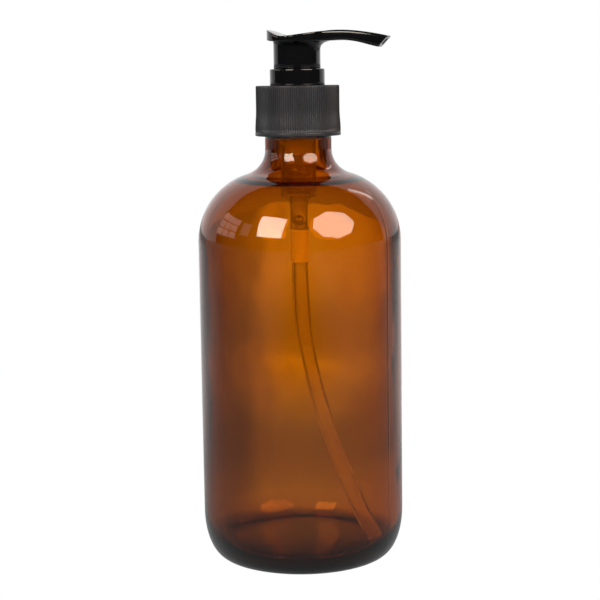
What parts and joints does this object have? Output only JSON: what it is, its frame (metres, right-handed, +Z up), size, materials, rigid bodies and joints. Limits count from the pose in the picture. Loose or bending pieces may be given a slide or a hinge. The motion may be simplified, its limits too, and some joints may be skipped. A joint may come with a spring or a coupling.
{
  "type": "soap pump dispenser",
  "caption": "Round-shouldered amber glass bottle with a ribbed screw closure and a lock-down lotion pump whose curved spout points along +X.",
  "frame": {"origin": "centre of the bottle's base, on the surface it stands on", "axes": "+Z up along the bottle and pump axis; +X towards the end of the spout"},
  "size_m": [0.075, 0.075, 0.1957],
  "materials": {
    "amber_glass": "clear amber, polished",
    "satin_black": "satin, finely ribbed",
    "gloss_black": "moulded gloss",
    "natural_plastic": "natural translucent polypropylene",
    "piston_plastic": "soft natural polyethylene",
    "stem_plastic": "natural, smooth",
    "clear_tube": "natural translucent polyethylene, extruded",
    "natural_rubber": "smooth elastomer",
    "white_foam": "fine closed-cell foam",
    "spring_steel": "drawn stainless wire",
    "ball_steel": "polished stainless"
  },
  "bodies": {
    "bottle": {"bottle": "amber_glass"},
    "pump_body": {"housing": "natural_plastic", "lock_collar": "gloss_black", "neck_gasket": "white_foam", "stem_wiper": "natural_rubber", "dip_tube": "clear_tube"},
    "closure": {"closure": "satin_black"},
    "inlet_ball": {"inlet_ball": "ball_steel"},
    "spring": {"return_spring": "spring_steel"},
    "head": {"pump_head": "gloss_black", "stem": "stem_plastic", "piston_seat": "natural_plastic"},
    "piston": {"piston": "piston_plastic"}
  },
  "joints": [
    {"name": "closure_rise", "type": "slide", "parent": "bottle", "child": "pump_body", "axis": [0, 0, 1], "range_m": [0, 0.00423]},
    {"name": "closure_twist", "type": "hinge", "parent": "pump_body", "child": "closure", "pos_m": [0, 0, 0.166], "axis": [0, 0, 1], "range_deg": [0, 360]},
    {"name": "ball_lift", "type": "slide", "parent": "pump_body", "child": "inlet_ball", "axis": [0, 0, 1], "range_m": [0, 0.0015]},
    {"name": "head_swivel", "type": "hinge", "parent": "pump_body", "child": "spring", "pos_m": [0, 0, 0.1425], "axis": [0, 0, 1], "continuous": true},
    {"name": "head_travel", "type": "slide", "parent": "spring", "child": "head", "axis": [0, 0, 1], "range_m": [0, 0.014], "deforming": ["return_spring"]},
    {"name": "piston_shift", "type": "slide", "parent": "head", "child": "piston", "axis": [0, 0, 1], "range_m": [0, 0.0015]}
  ],
  "couplings": [
    {"joint": "closure_rise", "follows": "closure_twist", "m_per_rad": 0.00067377}
  ]
}
